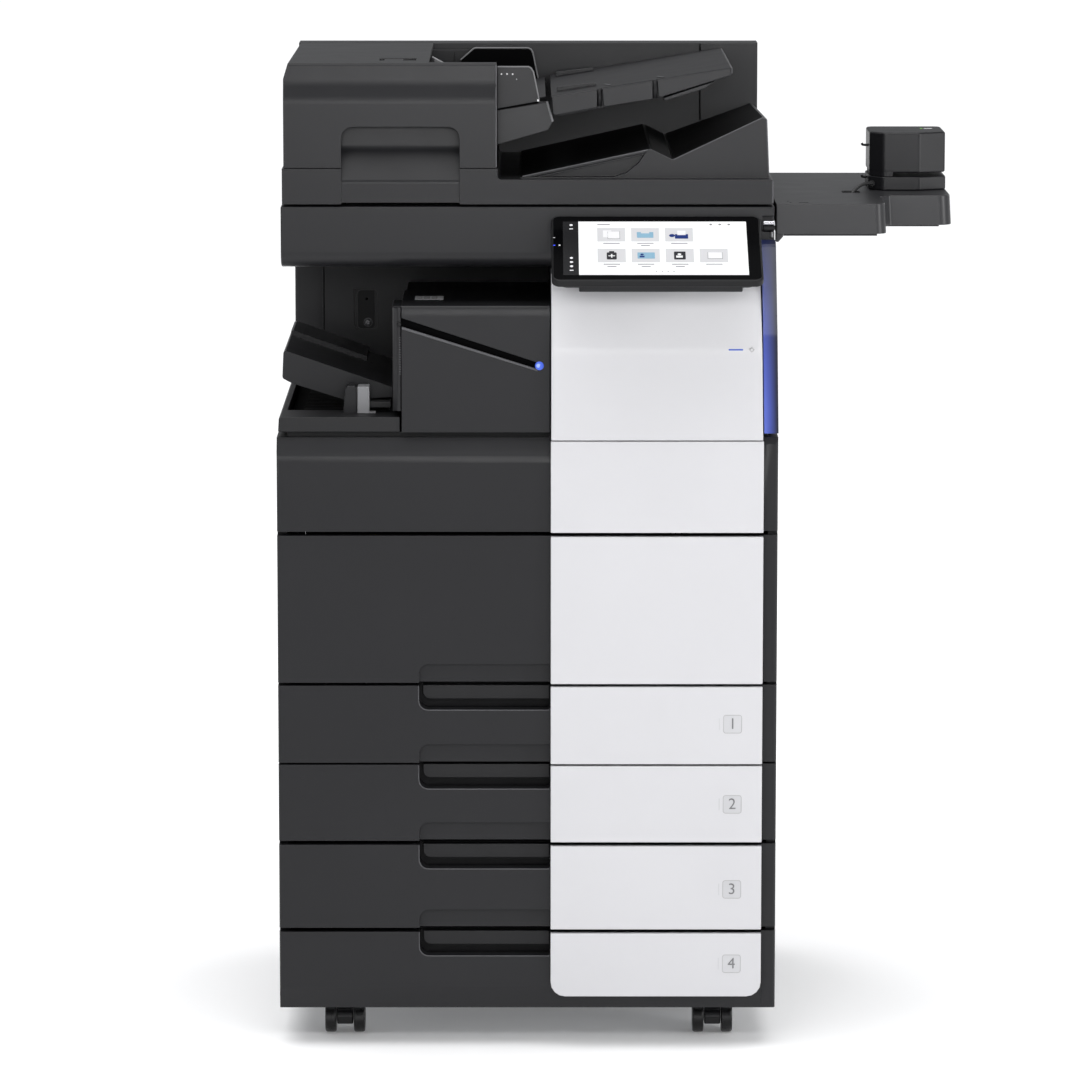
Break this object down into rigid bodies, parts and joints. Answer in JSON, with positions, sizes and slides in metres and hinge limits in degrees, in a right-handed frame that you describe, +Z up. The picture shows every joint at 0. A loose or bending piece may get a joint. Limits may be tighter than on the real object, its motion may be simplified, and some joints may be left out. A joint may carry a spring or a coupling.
{
  "type": "photocopier",
  "caption": "Floor-standing colour photocopier with drawers, finisher, touch panel, document feeder and a side table with a stapler.",
  "frame": {"origin": "on the floor, below the middle of the object's bounding box", "axes": "+Z up, -Y towards the user at the front doors and drawers, +X towards the side table"},
  "size_m": [0.8364, 0.7, 1.2196],
  "materials": {
    "dark_plastic": "fine moulded texture",
    "white_plastic": "smooth satin",
    "grey_plastic": "fine moulded texture",
    "frame_steel": "zinc-plated sheet",
    "fuser_steel": "brushed",
    "blue_gloss": "translucent gloss",
    "platen_glass": "clear float glass",
    "screen_glass": "lit touch screen",
    "roller_rubber": "matt rubber",
    "cord_rubber": "satin sheath",
    "toner_yellow": "satin",
    "toner_magenta": "satin",
    "toner_cyan": "satin",
    "toner_black": "satin",
    "caster_plastic": "satin",
    "caster_rubber": "satin tread"
  },
  "bodies": {
    "root": {"left_side_cover": "dark_plastic", "right_side_cover": "dark_plastic", "rear_cover": "dark_plastic", "output_deck": "dark_plastic", "inner_rear_wall": "dark_plastic", "right_tower": "dark_plastic", "scanner_case": "dark_plastic", "finisher_case": "dark_plastic", "finisher_tray": "dark_plastic", "finisher_base": "dark_plastic", "work_table": "dark_plastic", "stapler_base": "dark_plastic", "upper_front_cover": "white_plastic", "base_tray": "frame_steel", "engine_deck": "frame_steel", "fuser_unit": "fuser_steel", "side_accent_cover": "blue_gloss", "platen_glass": "platen_glass", "stapler_cord": "cord_rubber", "toner_cartridge_yellow": "toner_yellow", "toner_cartridge_magenta": "toner_magenta", "toner_cartridge_cyan": "toner_cyan", "toner_cartridge_black": "toner_black"},
    "scan_carriage": {"scan_carriage": "dark_plastic"},
    "panel": {"panel_housing": "dark_plastic", "panel_screen": "screen_glass"},
    "feeder": {"feeder_base": "dark_plastic", "feeder_housing": "dark_plastic"},
    "feeder_cover": {"feeder_cover": "dark_plastic"},
    "document_tray": {"document_tray": "dark_plastic"},
    "document_guide_front": {"document_guide_front": "grey_plastic"},
    "document_guide_rear": {"document_guide_rear": "grey_plastic"},
    "feed_roller": {"feed_roller": "roller_rubber"},
    "upper_door": {"upper_door": "dark_plastic", "upper_door_cover": "white_plastic"},
    "lower_door": {"lower_door": "dark_plastic", "lower_door_cover": "white_plastic"},
    "right_door": {"right_door": "dark_plastic"},
    "bypass_tray": {"bypass_tray": "dark_plastic"},
    "stapler_head": {"stapler_head": "dark_plastic"},
    "drawer_1": {"drawer_1_front": "dark_plastic", "drawer_1_cover": "white_plastic", "drawer_1_bin": "grey_plastic"},
    "drawer_2": {"drawer_2_front": "dark_plastic", "drawer_2_cover": "white_plastic", "drawer_2_bin": "grey_plastic"},
    "drawer_3": {"drawer_3_front": "dark_plastic", "drawer_3_cover": "white_plastic", "drawer_3_bin": "grey_plastic"},
    "drawer_4": {"drawer_4_front": "dark_plastic", "drawer_4_cover": "white_plastic", "drawer_4_bin": "grey_plastic"},
    "caster_front_left": {"caster_housing_front_left": "caster_plastic"},
    "wheels_front_left": {"caster_wheels_front_left": "caster_rubber"},
    "caster_front_right": {"caster_housing_front_right": "caster_plastic"},
    "wheels_front_right": {"caster_wheels_front_right": "caster_rubber"},
    "caster_rear_left": {"caster_housing_rear_left": "caster_plastic"},
    "wheels_rear_left": {"caster_wheels_rear_left": "caster_rubber"},
    "caster_rear_right": {"caster_housing_rear_right": "caster_plastic"},
    "wheels_rear_right": {"caster_wheels_rear_right": "caster_rubber"}
  },
  "joints": [
    {"name": "upper_door_hinge", "type": "hinge", "parent": "root", "child": "upper_door", "pos_m": [-0.11075, -0.241, 0.6555], "axis": [1, 0, 0], "range_deg": [0, 80]},
    {"name": "lower_door_hinge", "type": "hinge", "parent": "root", "child": "lower_door", "pos_m": [-0.11075, -0.242, 0.4665], "axis": [1, 0, 0], "range_deg": [0, 85]},
    {"name": "drawer_1_slide", "type": "slide", "parent": "root", "child": "drawer_1", "axis": [0, -1, 0], "range_m": [0, 0.42]},
    {"name": "drawer_2_slide", "type": "slide", "parent": "root", "child": "drawer_2", "axis": [0, -1, 0], "range_m": [0, 0.42]},
    {"name": "drawer_3_slide", "type": "slide", "parent": "root", "child": "drawer_3", "axis": [0, -1, 0], "range_m": [0, 0.42]},
    {"name": "drawer_4_slide", "type": "slide", "parent": "root", "child": "drawer_4", "axis": [0, -1, 0], "range_m": [0, 0.42]},
    {"name": "panel_tilt", "type": "hinge", "parent": "root", "child": "panel", "pos_m": [-0.11075, -0.2195, 1.012], "axis": [1, 0, 0], "range_deg": [0, 40]},
    {"name": "scan_carriage_slide", "type": "slide", "parent": "root", "child": "scan_carriage", "axis": [1, 0, 0], "range_m": [0, 0.46]},
    {"name": "feeder_hinge", "type": "hinge", "parent": "root", "child": "feeder", "pos_m": [-0.11075, 0.273, 1.047], "axis": [-1, 0, 0], "range_deg": [0, 60]},
    {"name": "feeder_cover_hinge", "type": "hinge", "parent": "feeder", "child": "feeder_cover", "pos_m": [-0.40725, 0.002, 1.0945], "axis": [0, -1, 0], "range_deg": [0, 65]},
    {"name": "document_tray_hinge", "type": "hinge", "parent": "feeder", "child": "document_tray", "pos_m": [-0.07475, 0.012, 1.165], "axis": [0, -1, 0], "range_deg": [0, 20]},
    {"name": "document_guide_front_slide", "type": "slide", "parent": "document_tray", "child": "document_guide_front", "axis": [0, 1, 0], "range_m": [0, 0.1]},
    {"name": "document_guide_rear_slide", "type": "slide", "parent": "document_tray", "child": "document_guide_rear", "axis": [0, 1, 0], "range_m": [-0.1, 0]},
    {"name": "feed_roller_spin", "type": "hinge", "parent": "feeder", "child": "feed_roller", "pos_m": [-0.12075, 0.012, 1.165], "axis": [0, 1, 0], "continuous": true},
    {"name": "right_door_hinge", "type": "hinge", "parent": "root", "child": "right_door", "pos_m": [0.19375, 0.3, 0.615], "axis": [0, 0, 1], "range_deg": [0, 80]},
    {"name": "bypass_tray_hinge", "type": "hinge", "parent": "right_door", "child": "bypass_tray", "pos_m": [0.19475, 0.087, 0.4975], "axis": [0, 1, 0], "range_deg": [0, 75]},
    {"name": "stapler_head_hinge", "type": "hinge", "parent": "root", "child": "stapler_head", "pos_m": [0.36575, 0.11, 1.0745], "axis": [-1, 0, 0], "range_deg": [0, 35]},
    {"name": "caster_swivel_front_left", "type": "hinge", "parent": "root", "child": "caster_front_left", "pos_m": [-0.33975, -0.163, 0.0225], "axis": [0, 0, 1], "continuous": true},
    {"name": "caster_wheels_spin_front_left", "type": "hinge", "parent": "caster_front_left", "child": "wheels_front_left", "pos_m": [-0.33975, -0.15, 0.0225], "axis": [1, 0, 0], "continuous": true},
    {"name": "caster_swivel_front_right", "type": "hinge", "parent": "root", "child": "caster_front_right", "pos_m": [0.12125, -0.163, 0.0225], "axis": [0, 0, 1], "continuous": true},
    {"name": "caster_wheels_spin_front_right", "type": "hinge", "parent": "caster_front_right", "child": "wheels_front_right", "pos_m": [0.12125, -0.15, 0.0225], "axis": [1, 0, 0], "continuous": true},
    {"name": "caster_swivel_rear_left", "type": "hinge", "parent": "root", "child": "caster_rear_left", "pos_m": [-0.33975, 0.277, 0.0225], "axis": [0, 0, 1], "continuous": true},
    {"name": "caster_wheels_spin_rear_left", "type": "hinge", "parent": "caster_rear_left", "child": "wheels_rear_left", "pos_m": [-0.33975, 0.29, 0.0225], "axis": [1, 0, 0], "continuous": true},
    {"name": "caster_swivel_rear_right", "type": "hinge", "parent": "root", "child": "caster_rear_right", "pos_m": [0.12125, 0.277, 0.0225], "axis": [0, 0, 1], "continuous": true},
    {"name": "caster_wheels_spin_rear_right", "type": "hinge", "parent": "caster_rear_right", "child": "wheels_rear_right", "pos_m": [0.12125, 0.29, 0.0225], "axis": [1, 0, 0], "continuous": true}
  ],
  "couplings": [
    {"joint": "document_guide_rear_slide", "follows": "document_guide_front_slide", "ratio": -1}
  ]
}
